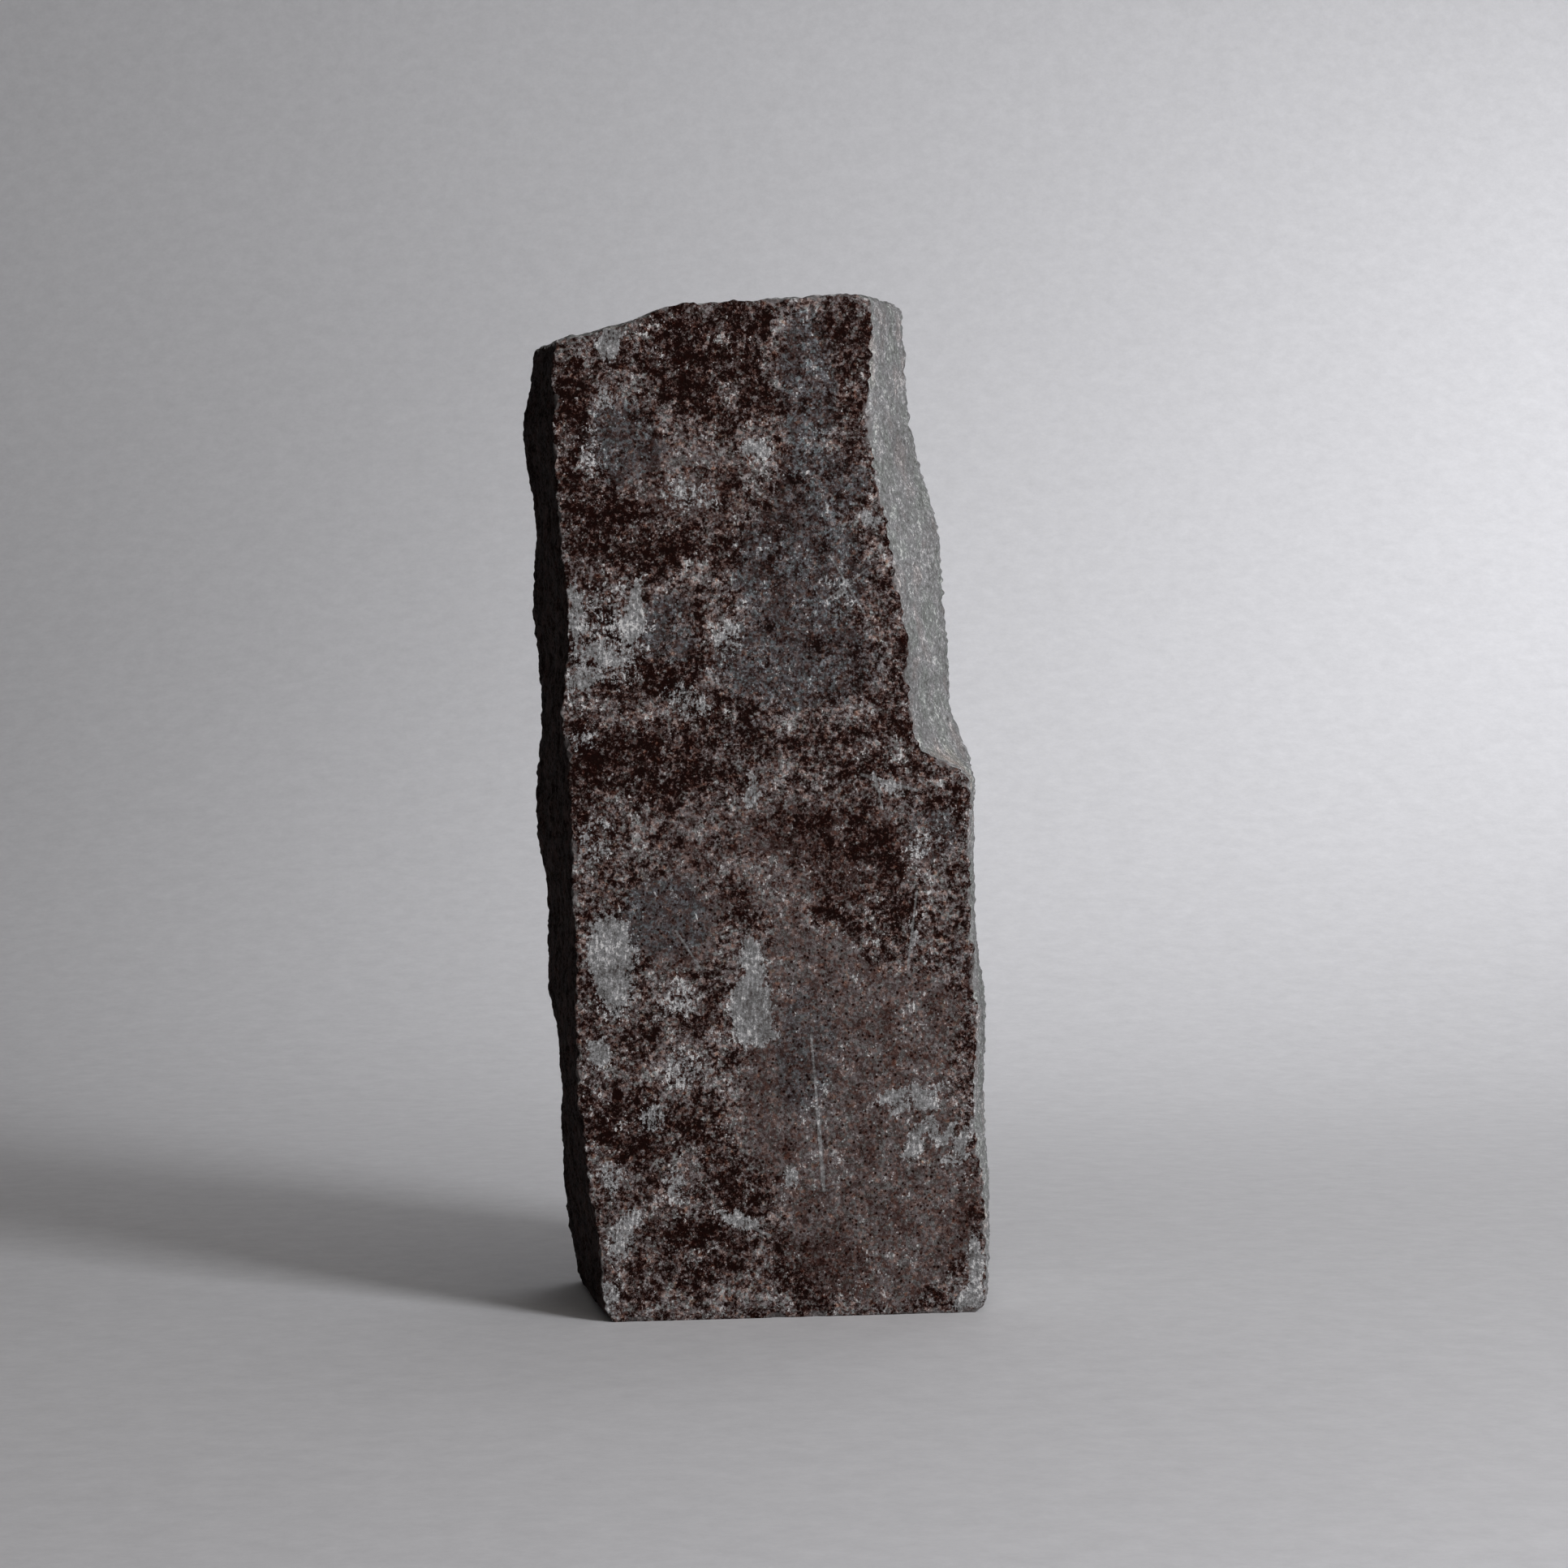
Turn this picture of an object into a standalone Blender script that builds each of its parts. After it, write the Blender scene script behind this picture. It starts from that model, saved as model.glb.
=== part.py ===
"""A rough-split block of volcanic rock, standing on its end.

Metres, +Z up. The flat cleft face looks along -Y, and the origin is the middle of the block's footprint, on the ground.
The block is shaped with its front lower left corner at zero, and moved over the origin at the end.
"""

import bmesh
import bpy
from mathutils import Vector, noise

# Overall sizes
HEIGHT = 0.323            # ground to the highest corner of the cleft face
FACE_WIDTH = 0.122        # cleft face at the foot
THICKNESS = 0.088         # cleft face to back face
BACK_RISE = 0.0075        # how much higher the top stands at the back

# The sides lean, and flare towards the back
LEFT_LEAN = 0.016         # how far the left side leans out by the top
LEFT_FLARE = 0.0028
RIGHT_FLARE = 0.011
FLARE_DEPTH = 0.045       # how far behind the cleft face the right side stops flaring
BACK_ROUND = 0.009        # how far before the back face the sides start to come in
BACK_PULL = 0.003         # how far the sides come in again at the back face
WIDEST_DEPTH = THICKNESS - BACK_ROUND

# The spall: a flake struck off the upper right edge, which leaves an oblique facet over a small ledge
LEDGE_HEIGHT = 0.169      # where the ledge leaves the full-width edge
LEDGE_RISE = 0.009        # how far the ledge climbs as it runs in
LEDGE_RUN = 0.017         # how far the ledge runs into the face
FACE_CUT = 0.016          # how much more of the face the spall takes higher up
OUTER_CUT = 0.0235        # how much of the widest line the spall takes by the top

# The top falls to the left shoulder
SHOULDER_DROP = 0.016
SHOULDER_BLEND = 0.045    # height over which the block's levels come to follow the sloping top

# Worn edges
FOOT_CORNER = 0.003       # rounding of the side edges at the foot
FOOT_LIP = 0.0008         # rounding of the front and back edges at the foot
TOP_CORNER = 0.002        # rounding of the side edges at the top

# Broken faces
WAVE = 0.028              # length of the swells on the split faces
FRONT_SWELL = 0.0003      # how far the swells move each face
BACK_SWELL = 0.0018
SIDE_SWELL = 0.0015
TOP_SWELL = 0.0025
SEED = Vector((4.7, 11.3, 2.9))

# Slices across the block: about one every 10 mm
SLICES_WIDE = 12
FLARE_SLICES = 4
REAR_SLICES = 3
SLICES_HIGH = 32
LEDGE_SLICES = 4          # extra slices that follow the ledge

# Wander of the four upright edges: (share of the height, metres to the right)
LEFT_EDGE = (
    (0.00, 0.0000), (0.03, -0.0010), (0.10, -0.0015), (0.15, -0.0035), (0.21, -0.0055), (0.27, -0.0055),
    (0.33, -0.0040), (0.45, -0.0035), (0.53, -0.0035), (0.59, -0.0045), (0.65, -0.0020), (0.71, -0.0010),
    (0.77, -0.0030), (0.84, -0.0030), (0.94, -0.0015), (1.00, 0.0000),
)
LEFT_OUTLINE = (
    (0.00, 0.0020), (0.04, 0.0010), (0.09, -0.0010), (0.13, -0.0015), (0.18, -0.0010), (0.22, 0.0005),
    (0.26, -0.0010), (0.31, -0.0030), (0.37, -0.0020), (0.41, -0.0020), (0.44, -0.0035), (0.49, -0.0045),
    (0.55, -0.0025), (0.59, -0.0005), (0.65, -0.0005), (0.70, -0.0025), (0.74, -0.0005), (0.79, 0.0010),
    (0.84, -0.0010), (0.88, -0.0030), (0.90, -0.0025), (0.93, 0.0005), (1.00, 0.0030),
)
RIGHT_EDGE = (
    (0.00, 0.0000), (0.10, 0.0000), (0.14, -0.0010), (0.19, -0.0040), (0.25, -0.0030), (0.31, -0.0030),
    (0.40, -0.0050), (1.00, -0.0050),
)
RIGHT_OUTLINE = (
    (0.00, -0.0010), (0.03, 0.0000), (0.13, 0.0005), (0.18, -0.0010), (0.23, -0.0015), (0.28, 0.0000),
    (0.33, -0.0020), (0.38, -0.0050), (0.45, -0.0050), (0.52, -0.0045), (1.00, -0.0050),
)
# The spall's two edges: (share of the way up the spall, share of its cut)
SPALL_EDGE = (
    (0.00, 0.00), (0.05, 0.09), (0.14, 0.19), (0.24, 0.19), (0.35, 0.36), (0.46, 0.56), (0.58, 0.81), (0.68, 0.95),
    (0.80, 1.00), (0.90, 0.92), (1.00, 0.89),
)
SPALL_OUTLINE = (
    (0.00, 0.00), (0.06, 0.06), (0.12, 0.27), (0.15, 0.33), (0.27, 0.32), (0.34, 0.37), (0.40, 0.45), (0.51, 0.46),
    (0.58, 0.55), (0.65, 0.66), (0.70, 0.79), (0.75, 0.87), (0.83, 0.95), (1.00, 1.00),
)
# Fall of the top from right to left: (share of the width from the left, share of the drop)
TOP_FALL = (
    (0.00, 1.00), (0.08, 0.90), (0.17, 0.75), (0.25, 0.55), (0.30, 0.50), (0.35, 0.28), (0.50, 0.24), (0.67, 0.14),
    (0.83, 0.05), (0.92, 0.00), (1.00, 0.03),
)

COLOUR = (0.075, 0.060, 0.057, 1.0)
ROUGHNESS = 0.72


def clear_scene():
    for thing in list(bpy.data.objects):
        bpy.data.objects.remove(thing, do_unlink=True)


def along(points, share):
    """The value of a list of (share, value) points at a share, straight between points."""
    for (low, first), (high, last) in zip(points, points[1:]):
        if share <= high:
            return first + (last - first) * (share - low) / (high - low)
    return points[-1][1]


def swell(across, depth, level, amount):
    return amount * noise.noise(Vector((across, depth, level)) / WAVE + SEED)


def share_above(level, start):
    """0 up to a starting level, then how far up from there to the top a level is."""
    return max(0.0, (level - start) / (HEIGHT - start))


def ledge_share(level):
    """0 at the ledge's outer end and below, 1 at its inner end and above."""
    climb = (level - LEDGE_HEIGHT) / LEDGE_RISE
    return min(1.0, max(0.0, climb)) ** 2


def left_edge(level):
    share = level / HEIGHT
    return along(LEFT_EDGE, share) - LEFT_LEAN * share


def left_outline(level):
    share = level / HEIGHT
    return along(LEFT_OUTLINE, share) - LEFT_LEAN * share - LEFT_FLARE


def right_edge(level):
    full = FACE_WIDTH + along(RIGHT_EDGE, level / HEIGHT)
    cut = FACE_CUT * along(SPALL_EDGE, share_above(level, LEDGE_HEIGHT + LEDGE_RISE))
    return full - LEDGE_RUN * ledge_share(level) - cut


def right_outline(level):
    full = FACE_WIDTH + RIGHT_FLARE + along(RIGHT_OUTLINE, level / HEIGHT)
    return full - OUTER_CUT * along(SPALL_OUTLINE, share_above(level, LEDGE_HEIGHT))


def reach(depth):
    """How much of the way from the cleft face to the back's rounding a depth is."""
    return min(1.0, depth / WIDEST_DEPTH)


def back_pull(depth):
    """How far a side has come in at the back's rounding."""
    return BACK_PULL * max(0.0, (depth - WIDEST_DEPTH) / BACK_ROUND)


def side_swell(across, level, depth):
    """Swells between the front edge and the back's rounding, which stay as they are."""
    middle = reach(depth) * (1.0 - reach(depth)) * 4.0
    return swell(across, depth, level, SIDE_SWELL) * middle


def left_side(level, depth):
    edge = left_edge(level)
    line = edge + (left_outline(level) - edge) * reach(depth)
    return line + back_pull(depth) + side_swell(0.0, level, depth)


def right_side(level, depth):
    edge = right_edge(level)
    line = edge + (right_outline(level) - edge) * min(1.0, depth / FLARE_DEPTH)
    return line - back_pull(depth) + side_swell(FACE_WIDTH, level, depth)


def end_rounding(distance, size):
    """How far a worn edge is set back at a distance from the block's end."""
    climb = min(1.0, distance / size)
    return size * (1.0 - (1.0 - (1.0 - climb) ** 2) ** 0.5)


def shaped(place):
    """Where a point of the plain sliced block, in shares of the block, lies on the stone."""
    across, back, up = place
    level = up * HEIGHT
    depth = back * THICKNESS
    corner = end_rounding(level, FOOT_CORNER) + end_rounding(HEIGHT - level, TOP_CORNER)
    left = left_side(level, depth) + corner
    right = right_side(level, depth) - corner
    side = left + (right - left) * across
    lip = end_rounding(level, FOOT_LIP) * (1.0 - 2.0 * back)
    front = swell(side, 0.0, level, FRONT_SWELL) * (1.0 - back)
    rear = swell(side, THICKNESS, level, BACK_SWELL) * back
    follow = max(0.0, 1.0 - (HEIGHT - level) / SHOULDER_BLEND) ** 1.5
    fall = SHOULDER_DROP * along(TOP_FALL, across)
    crest = swell(side, depth, HEIGHT, TOP_SWELL) * reach(depth) * (1.0 - reach(depth)) * 4.0
    return Vector((side, depth + lip + front + rear, level + (BACK_RISE * reach(depth) + crest - fall) * follow))


def slice_levels():
    """Shares of the height to cut at: even steps, the ledge's own steps and the worn ends."""
    even = [step / SLICES_HIGH for step in range(1, SLICES_HIGH)]
    ledge = [
        (LEDGE_HEIGHT + LEDGE_RISE * step / LEDGE_SLICES) / HEIGHT
        for step in range(LEDGE_SLICES + 1)
    ]
    clear = 0.4 / SLICES_HIGH
    kept = [share for share in even if all(abs(share - other) > clear for other in ledge)]
    ends = [FOOT_CORNER / HEIGHT, 1.0 - TOP_CORNER / HEIGHT]
    return sorted(kept + ledge + ends)


def slice_depths():
    """Shares of the thickness to cut at: even steps to the end of the flare, then to the back's rounding."""
    flare = [FLARE_DEPTH * step / FLARE_SLICES for step in range(1, FLARE_SLICES + 1)]
    rest = WIDEST_DEPTH - FLARE_DEPTH
    rear = [FLARE_DEPTH + rest * step / REAR_SLICES for step in range(1, REAR_SLICES + 1)]
    return [depth / THICKNESS for depth in flare + rear]


def cut_across(mesh, axis, shares):
    """Cut the block with planes square to an axis, at shares of its length."""
    normal = Vector((0.0, 0.0, 0.0))
    normal[axis] = 1.0
    for share in shares:
        everything = mesh.verts[:] + mesh.edges[:] + mesh.faces[:]
        bmesh.ops.bisect_plane(mesh, geom=everything, dist=1e-6, plane_co=normal * share, plane_no=normal)


def sliced_block():
    """A block one unit each way, cut into a grid on all sides."""
    mesh = bmesh.new()
    bmesh.ops.create_cube(mesh, size=1.0)
    bmesh.ops.translate(mesh, verts=mesh.verts, vec=(0.5, 0.5, 0.5))
    cut_across(mesh, 0, [step / SLICES_WIDE for step in range(1, SLICES_WIDE)])
    cut_across(mesh, 1, slice_depths())
    cut_across(mesh, 2, slice_levels())
    return mesh


def centre_footprint(mesh):
    """Move the block so that the middle of its bounding box stands over the origin."""
    for axis in (0, 1):
        places = [vert.co[axis] for vert in mesh.verts]
        middle = (min(places) + max(places)) / 2.0
        for vert in mesh.verts:
            vert.co[axis] -= middle


def stone_material():
    material = bpy.data.materials.new("weathered_stone")
    material.use_nodes = True
    shader = material.node_tree.nodes["Principled BSDF"]
    shader.inputs["Base Color"].default_value = COLOUR
    shader.inputs["Roughness"].default_value = ROUGHNESS
    shader.inputs["Metallic"].default_value = 0.0
    return material


def build_stone_block():
    mesh = sliced_block()
    for vert in mesh.verts:
        vert.co = shaped(vert.co)
    centre_footprint(mesh)
    bmesh.ops.triangulate(mesh, faces=mesh.faces)
    bmesh.ops.recalc_face_normals(mesh, faces=mesh.faces)
    data = bpy.data.meshes.new("stone_block")
    mesh.to_mesh(data)
    mesh.free()
    data.materials.append(stone_material())
    block = bpy.data.objects.new("stone_block", data)
    bpy.context.scene.collection.objects.link(block)


clear_scene()
build_stone_block()
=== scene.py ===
import math
import random

import bmesh
import bpy
import numpy as np
from mathutils import Matrix, Vector, noise
from mathutils.kdtree import KDTree


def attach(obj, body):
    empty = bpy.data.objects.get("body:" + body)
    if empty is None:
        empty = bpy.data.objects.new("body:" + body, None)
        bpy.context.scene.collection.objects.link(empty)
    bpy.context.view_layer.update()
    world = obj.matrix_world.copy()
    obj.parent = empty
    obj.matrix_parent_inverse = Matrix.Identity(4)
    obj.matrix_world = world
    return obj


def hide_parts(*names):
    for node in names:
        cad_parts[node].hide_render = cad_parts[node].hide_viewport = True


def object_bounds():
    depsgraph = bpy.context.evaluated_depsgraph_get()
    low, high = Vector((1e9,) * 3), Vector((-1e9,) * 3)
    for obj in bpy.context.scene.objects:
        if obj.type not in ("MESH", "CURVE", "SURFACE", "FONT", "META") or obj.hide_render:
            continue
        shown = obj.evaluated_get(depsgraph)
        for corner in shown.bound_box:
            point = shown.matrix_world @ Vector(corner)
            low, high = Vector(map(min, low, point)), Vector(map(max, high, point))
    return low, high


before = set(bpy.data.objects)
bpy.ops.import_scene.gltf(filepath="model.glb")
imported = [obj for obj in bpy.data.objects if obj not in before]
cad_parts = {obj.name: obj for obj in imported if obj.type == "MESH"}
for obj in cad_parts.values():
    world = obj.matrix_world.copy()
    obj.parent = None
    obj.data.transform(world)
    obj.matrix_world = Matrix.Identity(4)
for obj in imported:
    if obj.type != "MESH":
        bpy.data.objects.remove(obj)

CAD_LOW, CAD_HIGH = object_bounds()
MM = 0.001

# The block's faces, and which way each looks
OUTWARD = {
    "front": Vector((0.0, -1.0, 0.0)),
    "back": Vector((0.0, 1.0, 0.0)),
    "left": Vector((-1.0, 0.0, 0.0)),
    "right": Vector((1.0, 0.0, 0.0)),
    "top": Vector((0.0, 0.0, 1.0)),
    "base": Vector((0.0, 0.0, -1.0)),
}
FACES = list(OUTWARD)
TOP_BAND = 60 * MM          # how far down from the highest point the top can reach
SQUARE_ON = 0.9             # how squarely a facet of the cleft face or the foot looks its way
MOSTLY_BACK = 0.75
MOSTLY_UP = 0.5
WELD = 0.01 * MM
FACET_ANGLE = math.radians(60)
ROUNDING = 2                # levels of smoothing between the edges

# Relief of each face: (length of a swell, height of a swell), coarse to fine
RELIEF = {
    "front": ((22 * MM, 0.12 * MM), (6 * MM, 0.07 * MM), (2.4 * MM, 0.05 * MM)),
    "back": ((20 * MM, 0.60 * MM), (7 * MM, 0.30 * MM), (2.6 * MM, 0.14 * MM)),
    "left": ((15 * MM, 0.90 * MM), (5 * MM, 0.80 * MM), (2.0 * MM, 0.70 * MM)),
    "right": ((17 * MM, 0.50 * MM), (5 * MM, 0.60 * MM), (2.2 * MM, 1.20 * MM)),
    "top": ((15 * MM, 0.80 * MM), (5 * MM, 0.70 * MM), (2.0 * MM, 0.75 * MM)),
}
# How far each face stands back, so that its relief stays inside the solid
SET_BACK = {"front": 0.05 * MM, "back": 0.5 * MM, "left": 0.4 * MM, "right": 0.4 * MM, "top": 0.5 * MM}
# How steep the flakes that came away from each face are
FLAKE = {"front": 0.0, "back": 0.5 * MM, "left": 1.1 * MM, "right": 0.35 * MM, "top": 1.0 * MM}
FLAKE_SIZE = 11 * MM
FLAKE_VARIETY = 9.1
FLAKE_BORDER = 5.0          # the higher, the narrower the step between two flakes
DRAG = 6 * MM               # how far a face's relief pulls at the faces beside it
DRAG_FALL = 1.5
CREST_DEPTH = 45 * MM       # how far behind the cleft face the right side stands out furthest
CREST_START = 20 * MM       # the right side lies further out than this
FINE_BAND = 1.9 * MM        # finest facets this close to an edge
FOOT_CLEAR = 4 * MM         # no finest facets along the foot
LIFT_OFF = 0.05 * MM        # nothing but the foot comes down to the ground

# Bruised edges
CHIP_REACH = 3.6 * MM
CHIP_DEPTH = 1.5 * MM
CHIP_SPACING = 7 * MM
CHIP_RAG = 1.6 * MM
CHIP_FALL = 1.6
WEAR = 0.22 * MM
WEAR_FALL = 6
FULL_BRUISE = 0.5 * MM      # a chip this deep shows fully bruised rock
SEED = Vector((3.1, 7.7, 1.9))
NOISE_SEED = 7              # the noise vectors are drawn from this

# Marks on the cleft face: (middle across, middle up, half width, half height, turn, strength), in
# millimetres and degrees. Rubs show the pale rock, slate patches are smooth and blue-grey, crust is dark
# and dense, and calm zones are even, with small pits.
RUBS = (
    (-53, 112, 7, 15, 4, 0.9), (-9, 111, 3.4, 10, 0, 0.95), (-9, 98, 6.2, 10, 0, 1.0),
    (-8, 89, 7, 3.2, 0, 0.95), (-57, 84, 4, 4, 0, 0.8), (-65, 222, 2, 11, 0, 0.7),
    (-46, 221, 2, 11, -8, 0.95), (-58, 208, 9, 3, -12, 0.55), (-62, 200, 6, 4, 20, 0.6),
    (-17, 212, 4, 7, -35, 0.5), (-30, 194, 9, 4, -25, 0.55), (-54, 306, 4, 6, 0, 0.8),
    (-8, 273, 5, 3, 10, 0.8), (-56, 289, 3, 5, 0, 0.45), (-60, 272, 4, 9, 0, 0.25),
    (29, 252, 3, 4, 40, 0.7), (22, 231, 7, 2, 45, 0.5), (18, 229, 7, 2, -30, 0.45),
    (-9, 166, 2, 6, 0, 0.8), (36, 167, 8, 2, -28, 0.6), (37, 70, 5, 2, 25, 0.9),
    (46, 68, 5, 2, -35, 0.85), (40, 66, 6, 2, 15, 0.7), (50, 71, 4, 2, 40, 0.6),
    (44, 57, 2, 5, -30, 0.9), (49, 59, 2, 5, 20, 0.75), (54, 57, 2, 6, -35, 0.9),
    (59, 55, 2, 5, -25, 0.85), (43, 51, 4, 2, 30, 0.7), (56, 49, 6, 2, 20, 0.6),
    (63, 15, 3, 10, 0, 0.9), (60, 4, 5, 3, 0, 0.8), (64, 61, 2, 5, 0, 0.7), (3, 44, 3, 2, 0, 0.8),
    (-12, 31, 8, 2, -22, 0.8), (-40, 64, 4, 5, 0, 0.6), (-49, 28, 4, 9, -20, 0.6),
    (-53, 44, 4, 6, 0, 0.45), (-33, 42, 4, 6, 10, 0.45), (-55, 8, 4, 6, 0, 0.55),
    (-28, 258, 10, 5, -10, 0.4), (-62, 182, 5, 4, 0, 0.5), (43, 122, 1, 6, 0, 0.6),
    (-56, 213, 14, 19, 0, 0.35), (-58, 150, 6, 8, 0, 0.4), (-33, 100, 8, 6, 20, 0.35),
    (-30, 78, 6, 6, 0, 0.4), (48, 150, 9, 4, 30, 0.35),
)
SLATES = (
    (9, 294, 9, 26, 0, 0.85), (6, 236, 22, 20, 0, 0.9), (14, 264, 15, 11, 0, 0.7),
    (5, 206, 28, 15, 0, 0.8), (-50, 275, 14, 14, 0, 0.7), (-35, 216, 10, 12, 0, 0.7),
    (-37, 126, 15, 13, 0, 0.9), (8, 84, 11, 23, 0, 0.6), (48, 152, 10, 10, 0, 0.5),
    (-10, 180, 9, 12, 0, 0.4), (50, 112, 12, 10, 0, 0.3),
)
CRUSTS = (
    (-25, 305, 24, 14, 0, 1.0), (-66, 285, 6, 22, 0, 0.9), (-15, 290, 15, 10, 0, 0.7),
    (-45, 245, 22, 12, -10, 1.0), (-62, 252, 8, 14, 0, 0.8), (-10, 246, 14, 14, 0, 0.5),
    (-55, 218, 5, 5, 0, 1.0), (-40, 200, 14, 6, -5, 0.9), (-62, 178, 8, 14, 0, 0.7),
    (-40, 174, 20, 12, 0, 0.75), (-62, 160, 6, 8, 0, 0.6), (-15, 186, 10, 10, 0, 0.5),
    (20, 148, 25, 12, -5, 0.95), (30, 128, 18, 8, -10, 0.85), (-14, 130, 6, 8, 0, 0.85),
    (33, 180, 16, 10, 0, 0.6), (40, 200, 6, 12, 0, 0.6), (-48, 60, 10, 12, 0, 1.0),
    (-61, 66, 4, 14, 0, 0.8), (-25, 22, 13, 12, 0, 1.0), (-10, 40, 10, 8, 0, 0.85),
    (15, 15, 16, 12, 0, 0.7), (-45, 12, 8, 8, 0, 0.6), (-45, 90, 8, 8, 0, 0.6),
    (24, 300, 7, 18, 0, 0.5), (60, 165, 5, 12, 0, 0.6), (61, 35, 4, 12, 0, 0.5),
    (-25, 60, 12, 8, 0, 0.5),
)
CALMS = (
    (22, 70, 34, 40, 0, 0.95), (35, 35, 30, 30, 0, 0.9), (8, 108, 20, 16, 0, 0.7),
    (-33, 122, 14, 14, 0, 0.7), (45, 95, 14, 14, 0, 0.7), (20, 20, 20, 14, 0, 0.4),
    (5, 146, 46, 22, 0, 0.45), (-25, 262, 24, 14, 0, 0.4),
)
ACROSS = -1.8 * MM          # where the marks' middle line stands
MARK_WANDER = 2.2 * MM      # how far the outline of a mark strays
MARK_BAYS = 5 * MM          # size of the larger bays in that outline
MARK_TEETH = 2.2 * MM       # size of the smaller ones
MARK_EDGE = (1.35, 0.65)    # a mark fades between these shares of its half size
BACK_SEED = 12
BACK_MARKS = {              # how many of each mark the back has, and their half sizes in millimetres
    "rub": (34, (2, 8)),
    "slate": (9, (8, 24)),
    "crust": (24, (6, 20)),
    "calm": (7, (10, 28)),
}


# ---------------------------------------------------------------- the block's shape

def face_of(polygon):
    """Which of the block's faces a flat facet of the solid belongs to."""
    facing = polygon.normal
    if facing.y < -SQUARE_ON:
        return "front"
    if facing.y > MOSTLY_BACK:
        return "back"
    if facing.z < -SQUARE_ON:
        return "base"
    if facing.z > MOSTLY_UP and polygon.calc_center_median().z > CAD_HIGH.z - TOP_BAND:
        return "top"
    return "left" if facing.x < 0 else "right"


def smooth_block():
    """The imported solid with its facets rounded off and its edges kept, as a fine mesh."""
    shell = bmesh.new()
    shell.from_mesh(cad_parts["stone_block"].data)
    bmesh.ops.remove_doubles(shell, verts=shell.verts, dist=WELD)
    bmesh.ops.join_triangles(shell, faces=shell.faces, angle_face_threshold=FACET_ANGLE,
                             angle_shape_threshold=FACET_ANGLE)
    for face in shell.faces:
        face.material_index = FACES.index(face_of(face))
    crease = shell.edges.layers.float.new("crease_edge")
    for edge in shell.edges:
        kinds = {face.material_index for face in edge.link_faces}
        edge[crease] = 1.0 if len(kinds) > 1 else 0.0
    coarse = bpy.data.meshes.new("coarse_block")
    shell.to_mesh(coarse)
    shell.free()
    holder = bpy.data.objects.new("coarse_block", coarse)
    bpy.context.scene.collection.objects.link(holder)
    rounding = holder.modifiers.new("rounding", "SUBSURF")
    rounding.levels = ROUNDING
    rounding.render_levels = ROUNDING
    for _ in FACES:
        coarse.materials.append(None)
    evaluated = holder.evaluated_get(bpy.context.evaluated_depsgraph_get())
    fine = bpy.data.meshes.new_from_object(evaluated)
    bpy.data.objects.remove(holder)
    bpy.data.meshes.remove(coarse)
    return fine


def tree_of(places):
    """For finding the nearest of some places."""
    tree = KDTree(len(places))
    for slot, place in enumerate(places):
        tree.insert(place, slot)
    tree.balance()
    return tree


def split_edges(shell, wanted):
    """Halve every edge whose middle the test accepts."""
    chosen = [
        edge for edge in shell.edges
        if wanted(edge, (edge.verts[0].co + edge.verts[1].co) / 2)
    ]
    bmesh.ops.subdivide_edges(shell, edges=chosen, cuts=1, use_grid_fill=True)


def refine(mesh):
    """Finer facets on all the faces that show, and finer again along the edges and the outermost lines."""
    shell = bmesh.new()
    shell.from_mesh(mesh)
    plain = {FACES.index("back"), FACES.index("base")}
    crest = CAD_LOW.y + CREST_DEPTH

    def shows(edge, middle):
        return any(face.material_index not in plain for face in edge.link_faces)

    def outermost(edge, middle):
        at_crest = abs(middle.y - crest) < FINE_BAND and middle.x > 0 and edge.verts[0].co.x > CREST_START
        return tree.find(middle)[2] < FINE_BAND or at_crest

    split_edges(shell, shows)
    borders = [
        vert.co.copy() for vert in shell.verts
        if len({face.material_index for face in vert.link_faces}) > 1 and vert.co.z > FOOT_CLEAR
    ]
    tree = tree_of(borders)
    split_edges(shell, outermost)
    shell.to_mesh(mesh)
    shell.free()


def members_of_faces(mesh):
    """For each face of the block, the numbers of the points on it."""
    members = {face: set() for face in FACES}
    for polygon in mesh.polygons:
        members[FACES[polygon.material_index]].update(polygon.vertices)
    return {face: sorted(points) for face, points in members.items()}


def flake(place, face):
    """Small tilted facets, each a shallow flake that came away."""
    distances, centres = noise.voronoi(place / FLAKE_SIZE)
    tilt = noise.noise_vector(centres[0] * FLAKE_VARIETY + SEED)
    slope = (place / FLAKE_SIZE - centres[0]).dot(tilt)
    border = min(1.0, (distances[1] - distances[0]) * FLAKE_BORDER)
    return FLAKE[face] * slope * border


def relief(place, face):
    """Height of the broken or weathered surface at a place, out of the block."""
    seed = SEED * (1 + FACES.index(face))
    height = -SET_BACK[face]
    for length, amount in RELIEF[face]:
        height += amount * noise.noise(place / length + seed)
        seed = seed + SEED
    if FLAKE[face]:
        height += flake(place, face)
    return height


def rough_moves(places, members):
    """How far each point moves with the relief of the face it lies on or near."""
    moves = [Vector((0.0, 0.0, 0.0)) for _ in places]
    for face in RELIEF:
        chosen = members[face]
        heights = {point: relief(places[point], face) for point in chosen}
        tree = tree_of([places[point] for point in chosen])
        for point, place in enumerate(places):
            if point in heights:
                moves[point] += OUTWARD[face] * heights[point]
                continue
            _, slot, distance = tree.find(place)
            if distance < DRAG:
                share = (1.0 - distance / DRAG) ** DRAG_FALL
                moves[point] += OUTWARD[face] * heights[chosen[slot]] * share
    return moves


def edge_points(count, members):
    """The points where two or more faces meet, with the way into the block from each."""
    faces_at = [[] for _ in range(count)]
    for face, points in members.items():
        for point in points:
            faces_at[point].append(face)
    inward = {}
    for point, faces in enumerate(faces_at):
        if len(faces) > 1:
            outward = [OUTWARD[face] for face in faces if face != "base"]
            way = -sum(outward, Vector((0.0, 0.0, 0.0)))
            inward[point] = way.normalized()
    return inward


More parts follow.
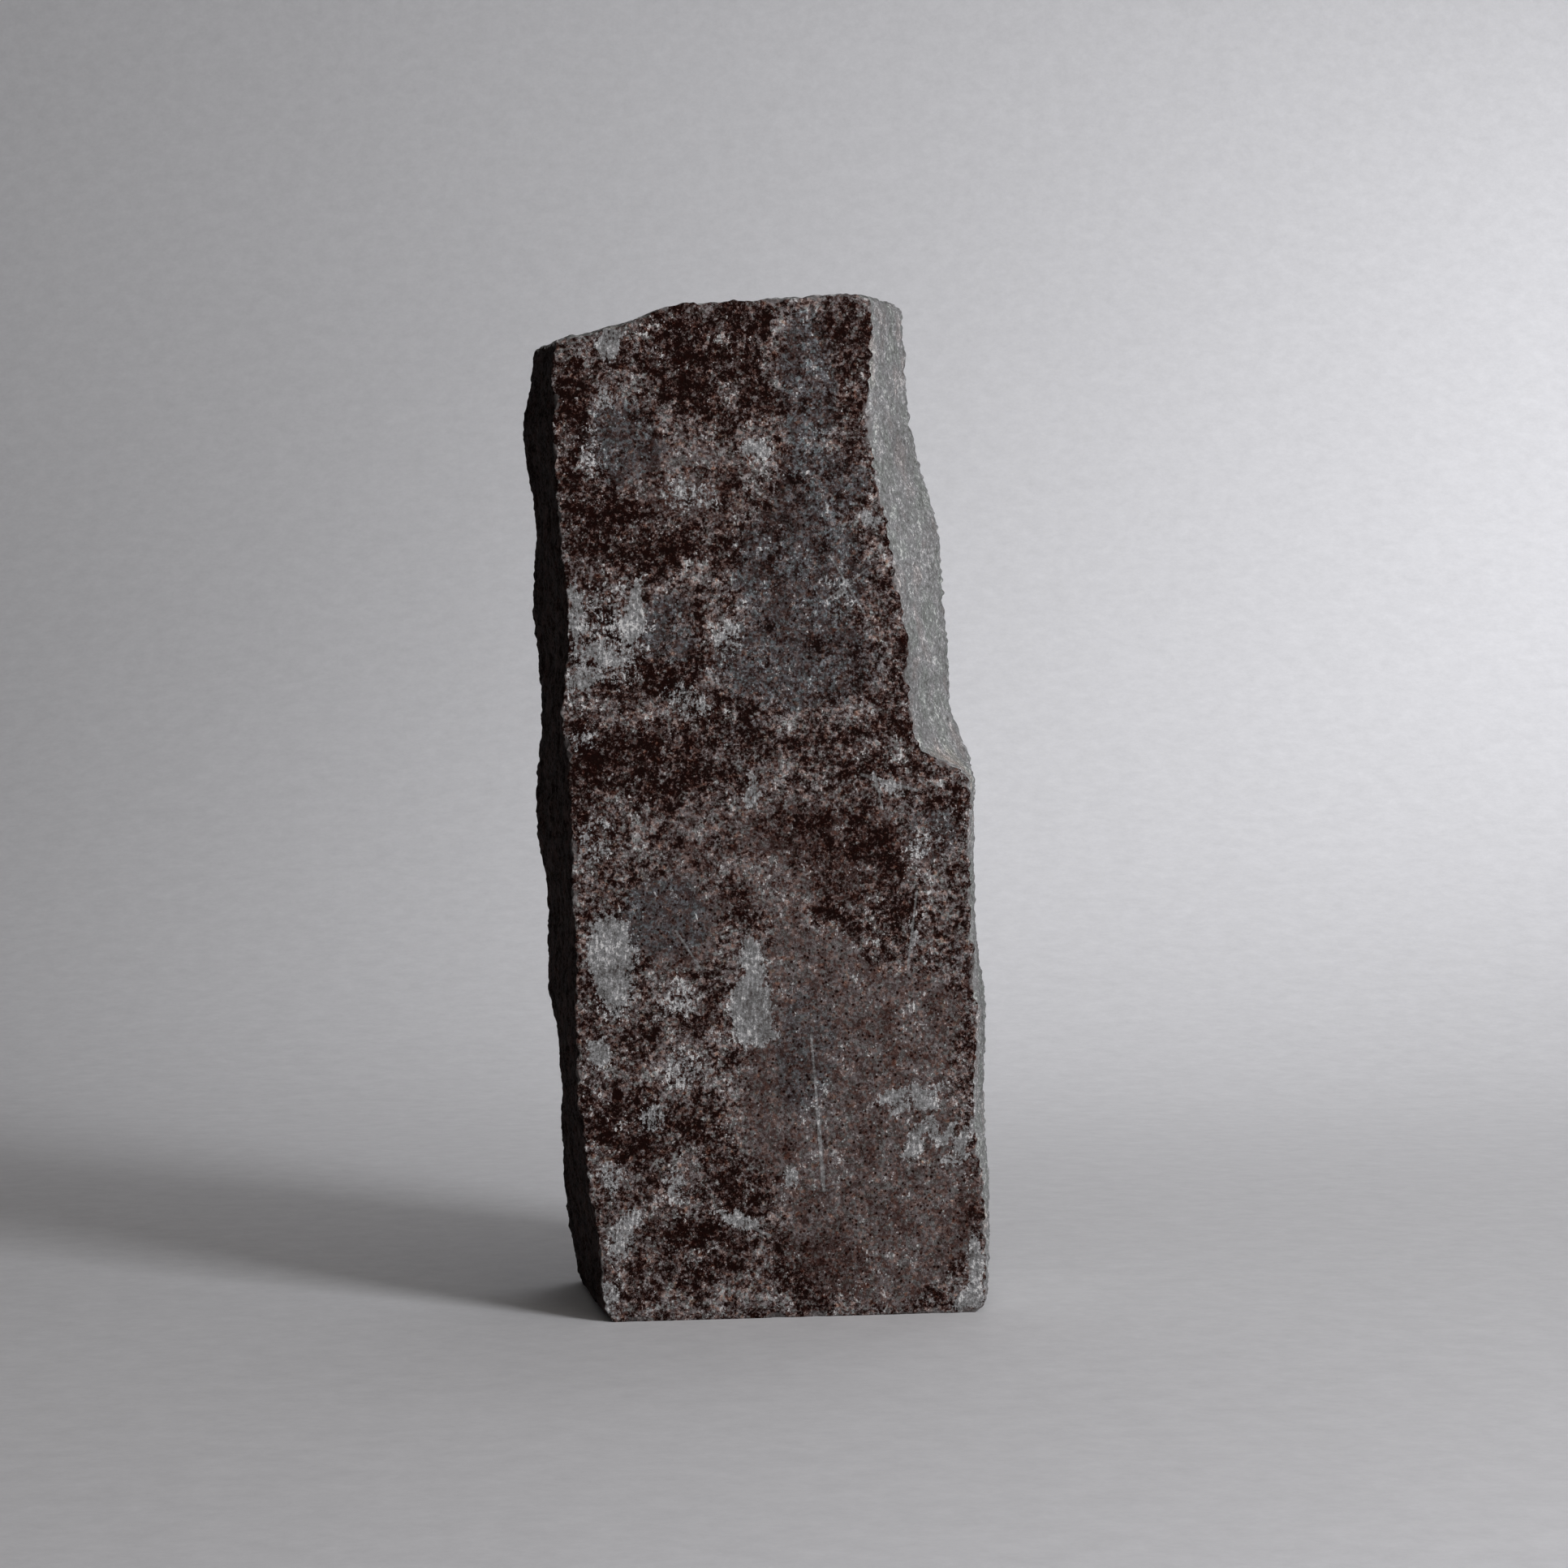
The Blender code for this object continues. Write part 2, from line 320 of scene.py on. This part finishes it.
def smoothed(low, high, value):
    """A soft step from 0 to 1 as the value goes from low to high."""
    share = min(1.0, max(0.0, (value - low) / (high - low)))
    return share * share * (3.0 - 2.0 * share)


def bruises(places, members):
    """Wear and chips along the edges: the moves they make, and how bruised each point is."""
    inward = edge_points(len(places), members)
    chosen = sorted(inward)
    tree = tree_of([places[point] for point in chosen])
    moves, amounts = [], []
    for place in places:
        _, slot, distance = tree.find(place)
        if distance > CHIP_REACH:
            moves.append(Vector((0.0, 0.0, 0.0)))
            amounts.append(0.0)
            continue
        edge = places[chosen[slot]]
        chip = smoothed(0.05, 0.5, noise.noise(edge / CHIP_SPACING + SEED * 5.0))
        ragged = 0.5 + 0.5 * noise.noise(place / CHIP_RAG)
        near = 1.0 - distance / CHIP_REACH
        depth = WEAR * near ** WEAR_FALL + CHIP_DEPTH * chip * ragged * near ** CHIP_FALL
        moves.append(inward[chosen[slot]] * depth)
        amounts.append(min(1.0, depth / FULL_BRUISE))
    return moves, amounts


def mark_strength(marks, across, up):
    """How strongly the nearest marks show at a place on the cleft face."""
    clear = 1.0
    for middle, level, half_width, half_height, turn, strength in marks:
        right = across - middle * MM
        above = up - level * MM
        if abs(right) + abs(above) > (half_width + half_height) * 2 * MM:
            continue
        turned = math.radians(turn)
        along = (right * math.cos(turned) + above * math.sin(turned)) / (half_width * MM)
        over = (above * math.cos(turned) - right * math.sin(turned)) / (half_height * MM)
        clear *= 1.0 - strength * smoothed(*MARK_EDGE, math.hypot(along, over))
    return 1.0 - clear


def scattered_marks(count, sizes, chance):
    """Marks for the back, spread over it by chance."""
    return [
        (
            chance.uniform(-66, 60), chance.uniform(5, 320), chance.uniform(*sizes), chance.uniform(*sizes),
            chance.uniform(-40, 40), chance.uniform(0.5, 1.0),
        )
        for _ in range(count)
    ]


def paint_marks(places, members):
    """How strongly each kind of mark shows, point by point, on the cleft face and the back."""
    chance = random.Random(BACK_SEED)
    front = {"rub": RUBS, "slate": SLATES, "crust": CRUSTS, "calm": CALMS}
    back = {name: scattered_marks(*what, chance) for name, what in BACK_MARKS.items()}
    fields = {}
    for name in front:
        field = np.zeros(len(places), np.float32)
        for face, marks in (("front", front[name]), ("back", back[name])):
            for point in members[face]:
                place = places[point]
                stray = noise.noise_vector(place / MARK_BAYS) + 0.6 * noise.noise_vector(place / MARK_TEETH)
                across = place.x - ACROSS + stray.x * MARK_WANDER
                field[point] = mark_strength(marks, across, place.z + stray.z * MARK_WANDER)
        fields[name] = field
    return fields


def paint_sides(count, members):
    """Which points are on the fresh breaks and which on the dark side with its painted shade, halved where
    these meet the skin.
    """
    broken = np.zeros(count, np.float32)
    shaded = np.zeros(count, np.float32)
    broken[members["right"]] = 1.0
    broken[members["top"]] = 1.0
    # the left side gets the darkest colour: partly its dark patina, partly painted shade
    shaded[members["left"]] = 1.0
    for face in ("front", "back"):
        broken[members[face]] *= 0.5
        shaded[members[face]] *= 0.5
    return {"broken": broken, "shaded": shaded}


def paint(mesh, places, members, amounts):
    """Attributes that say, point by point, what the surface is."""
    fields = paint_marks(places, members)
    fields.update(paint_sides(len(places), members))
    fields["bruise"] = np.array(amounts, np.float32)
    for name, values in fields.items():
        attribute = mesh.attributes.new(name, "FLOAT", "POINT")
        attribute.data.foreach_set("value", values)


def build_stone():
    """The split stone as one fine closed piece."""
    noise.seed_set(NOISE_SEED)
    mesh = smooth_block()
    refine(mesh)
    mesh.name = "split_stone"
    places = [vert.co.copy() for vert in mesh.vertices]
    members = members_of_faces(mesh)
    rough = rough_moves(places, members)
    chips, amounts = bruises(places, members)
    on_base = set(members["base"])
    for point, vert in enumerate(mesh.vertices):
        place = places[point] + rough[point] + chips[point]
        place.z = 0.0 if point in on_base else max(place.z, LIFT_OFF)
        vert.co = place
    paint(mesh, places, members, amounts)
    mesh.materials.clear()
    mesh.materials.append(stone_material())
    mesh.polygons.foreach_set("material_index", [0] * len(mesh.polygons))
    mesh.shade_smooth()
    stone = bpy.data.objects.new("split_stone", mesh)
    bpy.context.scene.collection.objects.link(stone)
    return stone


# ---------------------------------------------------------------- finishes

class Finish:
    """A material's node tree, with short ways to add to it."""

    def __init__(self, name):
        self.material = bpy.data.materials.new(name)
        self.material.use_nodes = True
        self.tree = self.material.node_tree
        self.shader = self.tree.nodes["Principled BSDF"]
        self.place = self.put("ShaderNodeTexCoord").outputs["Object"]

    def put(self, kind, inputs=None, **settings):
        made = self.tree.nodes.new(kind)
        for name, value in settings.items():
            setattr(made, name, value)
        for name, value in (inputs or {}).items():
            self.feed(made.inputs[name], value)
        return made

    def feed(self, socket, value):
        if isinstance(value, bpy.types.NodeSocket):
            self.tree.links.new(value, socket)
        else:
            socket.default_value = value

    def maths(self, operation, first, second=0.0, third=0.0):
        made = self.put("ShaderNodeMath", {0: first, 1: second, 2: third}, operation=operation)
        return made.outputs[0]

    def sum(self, start, *terms):
        """A start value plus each value times its weight."""
        total = start
        for value, weight in terms:
            if isinstance(value, bpy.types.NodeSocket):
                total = self.maths("MULTIPLY_ADD", value, weight, total)
            elif isinstance(total, bpy.types.NodeSocket):
                total = self.maths("ADD", total, value * weight)
            else:
                total = total + value * weight
        return total

    def ramp(self, value, stops):
        """Colours by value, with soft steps between the stops."""
        made = self.put("ShaderNodeValToRGB", {"Fac": value})
        elements = made.color_ramp.elements
        while len(elements) < len(stops):
            elements.new(0.5)
        for element, (level, colour) in zip(elements, stops):
            element.position = level
            element.color = (*colour, 1.0)
        return made.outputs["Color"]

    def blend(self, share, first, second, how="MIX"):
        made = self.put("ShaderNodeMix", {0: share, 6: first, 7: second}, data_type="RGBA", blend_type=how)
        return made.outputs[2]

    def tint(self, share, colour, tone):
        """The colour, taken towards itself times a tone."""
        return self.blend(share, colour, (*tone, 1.0), "MULTIPLY")

    def step(self, value, low, high, start=0.0, end=1.0):
        """A soft step from start to end as the value goes from low to high."""
        made = self.put("ShaderNodeMapRange", {0: value, 1: low, 2: high, 3: start, 4: end},
                        interpolation_type="SMOOTHSTEP")
        return made.outputs[0]

    def cloud(self, size, detail=2.0, rough=0.5, seed=0.0, where=None):
        """Smooth noise with blots of about the given size, in metres."""
        shift = (seed * size * 7, seed * size * 3, 0)
        shifted = self.put("ShaderNodeVectorMath", {0: where or self.place, 1: shift})
        made = self.put("ShaderNodeTexNoise", {
            "Vector": shifted.outputs[0], "Scale": 1.0 / size, "Detail": detail, "Roughness": rough,
        })
        return made.outputs[0]

    def cells(self, size, seed=0.0):
        """Crystals of about the given size: the distance from each one's middle, and a colour for each."""
        made = self.put("ShaderNodeTexVoronoi", {
            "Vector": self.place, "Scale": 1.0 / size, "W": seed, "Randomness": 1.0,
        }, voronoi_dimensions="4D", feature="F1")
        return made.outputs["Distance"], made.outputs["Color"]

    def stretched(self, scale):
        made = self.put("ShaderNodeMapping", {"Vector": self.place, "Scale": scale})
        return made.outputs[0]

    def painted(self, name):
        return self.put("ShaderNodeAttribute", attribute_name=name).outputs["Fac"]

    def product(self, first, second):
        return self.maths("MULTIPLY", first, second)

    def vector(self, operation, first, second):
        return self.put("ShaderNodeVectorMath", {0: first, 1: second}, operation=operation)


# Colours of the weathered skin by tone, from the darkest crust up
SKIN = (
    (0.09, (0.0085, 0.0030, 0.0022)), (0.16, (0.0170, 0.0078, 0.0060)), (0.25, (0.0385, 0.0200, 0.0168)),
    (0.38, (0.0640, 0.0440, 0.0398)), (0.48, (0.0931, 0.0742, 0.0710)), (0.61, (0.1413, 0.1195, 0.1160)),
    (0.78, (0.2307, 0.2051, 0.1981)), (0.96, (0.3500, 0.3350, 0.3300)),
)
# Colours of rubbed and freshly broken rock by tone
BREAK = (
    (0.30, (0.042, 0.034, 0.031)), (0.48, (0.088, 0.080, 0.076)), (0.65, (0.148, 0.146, 0.141)),
    (0.84, (0.238, 0.238, 0.234)), (0.95, (0.325, 0.322, 0.320)), (1.00, (0.60, 0.59, 0.57)),
)
BRUISED_ROCK = (0.17, 0.16, 0.155, 1)
# What the skin and the fresh rock are multiplied by where they lean to a colour
SLATE_TINT = (0.83, 0.99, 1.08)
PINK_GRAIN = (1.16, 0.97, 0.88)
GREEN_GRAIN = (0.90, 1.01, 0.99)
RUST_TINT = (1.32, 0.96, 0.74)
STAIN_TINT = (1.10, 0.98, 0.88)
GREENISH = (0.97, 1.01, 0.97)
PINKISH = (1.05, 0.99, 0.97)
# Grain sizes
SKIN_GRAIN = 10 * MM
CRYSTAL = 1.05 * MM
TINTED_GRAIN = 1.2 * MM
PIT = 1.3 * MM
PEBBLE = 2.2 * MM
GLINT = 1.1 * MM
SAND = 1.1 * MM
RAGGED_BORDER = 1.4 * MM
STREAK_SCALE = (1100, 1100, 260)    # rub streaks: waves to the metre across, in depth and up
# Scratches on the cleft face: (across, up) of both ends and the width, in millimetres
SCRATCHES = (
    ((10, 89), (12, 66), 0.42), ((12, 66), (14, 40), 0.65), ((-33, 122), (-25, 110), 0.4),
    ((26, 171), (44, 166), 0.5), ((16, 240), (27, 222), 0.35), ((28, 236), (15, 226), 0.3),
    ((-18, 33), (-3, 26), 0.5), ((41, 110), (44, 134), 0.35), ((30, 172), (33, 160), 0.3),
)


def scratch(finish, start, end, width):
    """1 on a thin line between two places on the cleft face, fading over its width in millimetres."""
    first = Vector((start[0] * MM + ACROSS, 0.0, start[1] * MM))
    run = Vector((end[0] - start[0], 0.0, end[1] - start[1])) * MM
    flat = finish.vector("MULTIPLY", finish.place, (1.0, 0.0, 1.0)).outputs[0]
    away = finish.vector("SUBTRACT", flat, first).outputs[0]
    dot = finish.vector("DOT_PRODUCT", away, run).outputs["Value"]
    share = finish.put("ShaderNodeMapRange", {0: dot, 2: run.length_squared}).outputs[0]
    foot = finish.put("ShaderNodeVectorMath", {0: run, "Scale": share}, operation="SCALE").outputs[0]
    gap = finish.vector("DISTANCE", away, foot).outputs["Value"]
    return finish.step(gap, width * MM * 1.3, width * MM * 0.5)


def skin_tone(finish, marks, grains, crystals):
    """How pale the weathered skin is, and the small bright bits in it."""
    rub, slaty, crust, calm = marks
    lively = finish.sum(1.0, (calm, -0.72))
    tone = finish.sum(0.44, (crust, -0.09), (slaty, -0.05), (calm, 0.03))
    swing = finish.product(finish.sum(-0.5, (grains, 1.0)), finish.sum(1.0, (calm, -0.4)))
    tone = finish.sum(tone, (swing, 1.55))

    patches = finish.sum(finish.cloud(6 * MM, 5.0, 0.75, 23.0), (crust, 0.10), (slaty, -0.05), (rub, -0.10))
    patches = finish.product(finish.sum(-0.35, (finish.step(patches, 0.50, 0.56), 1.0)), lively)
    tone = finish.sum(tone, (patches, -0.13))

    blots = finish.sum(finish.cloud(2.0 * MM, 3.0, 0.75, 21.0), (tone, 0.22), (0.43, -0.22))
    blots = finish.product(finish.sum(-0.5, (finish.step(blots, 0.48, 0.53), 1.0)), lively)
    bits = finish.sum(finish.cloud(0.9 * MM, 2.0, 0.6, 22.0), (tone, 0.30), (0.43, -0.30))
    bits = finish.step(bits, 0.49, 0.55)
    tone = finish.sum(tone, (finish.product(blots, finish.sum(0.23, (slaty, -0.08))), 1.0))
    bright = finish.product(finish.sum(-0.5, (bits, 1.0)), finish.sum(1.0, (calm, -0.35)))
    tone = finish.sum(tone, (bright, 0.27))

    gap, hue = finish.cells(PIT, 41.0)
    pits = finish.product(finish.step(gap, 0.42, 0.28), finish.step(hue, 0.35, 0.45))
    tone = finish.sum(tone, (finish.product(pits, finish.sum(0.3, (calm, 0.7))), -0.30))
    return finish.sum(tone, (crystals, 0.42)), bits


def rubbed_share(finish, rub, grains, bits, streaks):
    """How far the skin is rubbed or scratched away."""
    rubbed = finish.sum(rub, (grains, 2.0), (streaks, 1.3), (bits, 0.26), (0.5, -3.56))
    total = finish.product(finish.step(rubbed, 0.32, 0.54), 0.92)
    for line in SCRATCHES:
        total = finish.maths("MAXIMUM", total, finish.product(scratch(finish, *line), 0.75))
    return total


def skin_colour(finish, marks, grains, crystals):
    """The weathered skin with its grains, rust and rubs, and its tone."""
    rub, slaty, crust, calm = marks
    tone, bits = skin_tone(finish, marks, grains, crystals)
    colour = finish.ramp(tone, SKIN)
    colour = finish.tint(finish.product(slaty, 0.9), colour, SLATE_TINT)
    grit = finish.cells(TINTED_GRAIN, 51.0)[1]
    colour = finish.tint(finish.step(grit, 0.60, 0.70), colour, PINK_GRAIN)
    colour = finish.tint(finish.step(grit, 0.40, 0.30), colour, GREEN_GRAIN)
    rust = finish.step(finish.cloud(2.6 * MM, 2.0, 0.6, 15.0), 0.60, 0.70)
    colour = finish.tint(finish.product(rust, 0.8), colour, RUST_TINT)

    streaks = finish.cloud(1.0, 3.0, 0.7, 7.0, finish.stretched(STREAK_SCALE))
    chalk = finish.sum(0.76, (grains, 1.2), (streaks, 0.9), (bits, 0.18), (0.5, -2.28))
    share = rubbed_share(finish, rub, grains, bits, streaks)
    return finish.blend(share, colour, finish.ramp(chalk, BREAK)), tone


def fresh_colour(finish):
    """Freshly broken rock with painted glints on its bright crystals, and where those crystals are."""
    pebbly = finish.cloud(PEBBLE, 3.0, 1.0, 9.0)
    gap, hue = finish.cells(GLINT, 11.0)
    glint = finish.product(finish.step(gap, 0.34, 0.16), finish.step(hue, 0.86, 0.91))
    fleck = finish.product(finish.step(gap, 0.45, 0.30), finish.step(hue, 0.13, 0.09))
    wide = finish.cloud(12 * MM, 2.0, 0.5, 8.0)
    broad = finish.cloud(38 * MM, 3.0, 0.6, 18.0)
    # glint brightens the colour in small specks: pale crystals, made paler still as painted glints
    tone = finish.sum(0.80, (pebbly, 1.6), (broad, 0.5), (0.5, -2.1), (glint, 0.34), (fleck, -0.24))
    colour = finish.ramp(tone, BREAK)
    colour = finish.tint(finish.step(broad, 0.58, 0.70, 0.0, 0.8), colour, STAIN_TINT)
    colour = finish.tint(finish.step(wide, 0.45, 0.62), colour, GREENISH)
    colour = finish.tint(finish.step(wide, 0.45, 0.32), colour, PINKISH)
    return colour, glint


def stone_material():
    """Weathered skin, fresh breaks, a dark side with painted shade and bruised edges, in one finish."""
    finish = Finish("weathered_porphyry")
    rub, slate, crust, still = (finish.painted(name) for name in ("rub", "slate", "crust", "calm"))
    grains = finish.cloud(SKIN_GRAIN, 5.0, 0.97, 1.0)
    drift = finish.cloud(8 * MM, 3.0, 0.6, 2.0)
    slaty = finish.step(finish.sum(slate, (drift, 1.0), (0.5, -1.0)), 0.25, 0.75)
    calm = finish.step(finish.sum(still, (slaty, 0.45), (drift, 1.0), (0.5, -1.0)), 0.25, 0.65)
    gap, hue = finish.cells(CRYSTAL, 6.0)
    crystals = finish.product(finish.step(gap, 0.42, 0.26), finish.step(hue, 0.75, 0.84))

    skin, tone = skin_colour(finish, (rub, slaty, crust, calm), grains, crystals)
    fresh, glint = fresh_colour(finish)
    # gloom is the left side's colour, the darkest skin tones: partly its dark patina, partly painted shade
    gloom = finish.ramp(finish.sum(0.14, (grains, 1.2), (0.5, -1.2), (crystals, 0.15)), SKIN)

    ragged = finish.sum(-0.25, (finish.cloud(RAGGED_BORDER, 2.0, 0.6, 12.0), 0.5))
    dark_side = finish.step(finish.sum(ragged, (finish.painted("shaded"), 1.0)), 0.46, 0.54)
    fresh_side = finish.step(finish.sum(ragged, (finish.painted("broken"), 1.0)), 0.46, 0.54)
    bruised = finish.step(finish.sum(finish.painted("bruise"), (ragged, 1.4)), 0.45, 0.75)
    colour = finish.blend(dark_side, skin, gloom)
    colour = finish.blend(fresh_side, colour, fresh)
    colour = finish.blend(finish.product(bruised, 0.45), colour, BRUISED_ROCK)
    finish.feed(finish.shader.inputs["Base Color"], colour)

    rough = finish.sum(finish.step(grains, 0.35, 0.65, 0.72, 0.90), (glint, -0.35))
    finish.feed(finish.shader.inputs["Roughness"], rough)
    shine = finish.step(tone, 0.15, 0.60, 0.02, 0.20)
    finish.feed(finish.shader.inputs["Specular IOR Level"], shine)

    grainy = finish.sum(0.0, (grains, 2.0), (crystals, 0.2), (finish.cloud(SAND, 3.0, 0.8, 31.0), 1.0))
    bump = finish.put("ShaderNodeBump", {"Height": grainy, "Strength": 0.8, "Distance": 0.55 * MM})
    finish.feed(finish.shader.inputs["Normal"], bump.outputs["Normal"])
    return finish.material


def paper_material():
    """Pale mottled paper."""
    finish = Finish("studio_paper")
    mottle = finish.cloud(PAPER_MOTTLE, 6.0, 0.85, 1.0)
    low, high = (PAPER * (1.0 - PAPER_SWING), PAPER * (1.0 + PAPER_SWING))
    colour = finish.blend(mottle, (low, low, low, 1.0), (high, high, high, 1.0))
    finish.feed(finish.shader.inputs["Base Color"], colour)
    finish.shader.inputs["Roughness"].default_value = PAPER_ROUGHNESS
    return finish.material


# ---------------------------------------------------------------- the studio

SWEEP_BACK = 0.55           # where the floor starts to rise behind the block
SWEEP_RADIUS = 1.5
SWEEP_SIDE = 3.2
SWEEP_FRONT = 2.6
SWEEP_TOP = 2.6
SWEEP_STEPS = 24
PAPER = 0.72
PAPER_SWING = 0.18
PAPER_MOTTLE = 14 * MM
PAPER_ROUGHNESS = 0.9
VIEW_TURN = -9.5            # the camera stands this many degrees to the left of the cleft face's middle
CAMERA_PLACE = (-0.1701, -1.0581, 0.168)
LENS = 75.0
MIDDLE = Vector((0.0, 0.0, 0.16))   # what the lights in front are aimed at
COOL = (0.945, 0.950, 1.0)
WARM = (1.0, 0.94, 0.91)
AIR_COLOUR = (1.0, 0.95, 0.93, 1.0)
AIR_STRENGTH = 0.03


def sweep_profile():
    """The sheet's side view: flat floor, a quarter round, and up."""
    profile = [(-SWEEP_FRONT, 0.0)]
    for step in range(SWEEP_STEPS + 1):
        angle = math.radians(90 * step / SWEEP_STEPS)
        rise = SWEEP_RADIUS * (1 - math.cos(angle))
        profile.append((SWEEP_BACK + SWEEP_RADIUS * math.sin(angle), rise))
    profile.append((SWEEP_BACK + SWEEP_RADIUS, SWEEP_TOP))
    return profile


def build_sweep():
    """A floor that curves up into a backdrop, square to the camera."""
    sheet = bmesh.new()
    line = [sheet.verts.new((-SWEEP_SIDE, back, up)) for back, up in sweep_profile()]
    for first, second in zip(line, line[1:]):
        sheet.edges.new((first, second))
    grown = bmesh.ops.extrude_edge_only(sheet, edges=sheet.edges)
    moved = [item for item in grown["geom"] if isinstance(item, bmesh.types.BMVert)]
    bmesh.ops.translate(sheet, verts=moved, vec=(2 * SWEEP_SIDE, 0.0, 0.0))
    turn = Matrix.Rotation(math.radians(VIEW_TURN), 3, "Z")
    bmesh.ops.rotate(sheet, verts=sheet.verts, matrix=turn)
    bmesh.ops.recalc_face_normals(sheet, faces=sheet.faces)
    mesh = bpy.data.meshes.new("studio_sweep")
    sheet.to_mesh(mesh)
    sheet.free()
    mesh.shade_smooth()
    mesh.materials.append(paper_material())
    sweep = bpy.data.objects.new("studio_sweep", mesh)
    bpy.context.scene.collection.objects.link(sweep)


def towards(turn, lift):
    """Which way a light lies: turned to the right of the camera, and lifted above level, in degrees."""
    around = math.radians(VIEW_TURN + turn)
    up = math.radians(lift)
    return Vector((math.sin(around) * math.cos(up), -math.cos(around) * math.cos(up), math.sin(up)))


def build_light(name, place, aim, width, height, power, spread=180, colour=COOL):
    """A soft rectangular light, aimed at a place."""
    data = bpy.data.lights.new(name, "AREA")
    data.shape = "RECTANGLE"
    data.size = width
    data.size_y = height
    data.energy = power
    data.color = colour
    data.spread = math.radians(spread)
    light = bpy.data.objects.new(name, data)
    light.location = place
    light.rotation_mode = "QUATERNION"
    light.rotation_quaternion = (aim - place).to_track_quat("-Z", "Y")
    light.visible_camera = False
    bpy.context.scene.collection.objects.link(light)


def build_lights():
    """A low window on the right, soft fill from above and in front, and light on the backdrop."""
    window = MIDDLE + towards(46, 17) * 1.5
    ceiling = MIDDLE + towards(60, 62) * 2.1
    fill = MIDDLE + towards(12, 35) * 2.2
    build_light("window", window, MIDDLE, 0.42, 0.53, 16.8)
    build_light("ceiling", ceiling, MIDDLE, 2.0, 2.0, 3, colour=WARM)
    build_light("front_fill", fill, MIDDLE, 1.8, 1.4, 5.2, colour=WARM)
    wall_wash = Vector((2.2, 0.5, 0.7))
    build_light("wall_wash", wall_wash, Vector((-0.1, 2.1, 0.25)), 0.8, 1.2, 10, 70)
    rear_softbox = Vector((0.4, 0.75, 1.6))
    build_light("rear_softbox", rear_softbox, Vector((0.45, 0.75, 0.0)), 0.8, 0.8, 1.7, 72)
    world = bpy.data.worlds.new("studio_air")
    world.use_nodes = True
    air = world.node_tree.nodes["Background"]
    air.inputs["Color"].default_value = AIR_COLOUR
    air.inputs["Strength"].default_value = AIR_STRENGTH
    bpy.context.scene.world = world


def build_camera():
    data = bpy.data.cameras.new("camera")
    data.sensor_width = 36.0
    data.lens = LENS
    camera = bpy.data.objects.new("camera", data)
    camera.location = CAMERA_PLACE
    camera.rotation_euler = (math.radians(90), 0.0, math.radians(VIEW_TURN))
    bpy.context.scene.collection.objects.link(camera)
    bpy.context.scene.camera = camera


build_camera()
stone = build_stone()
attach(stone, "root")
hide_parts("stone_block")
build_sweep()
build_lights()
bpy.context.scene.view_settings.view_transform = "Standard"
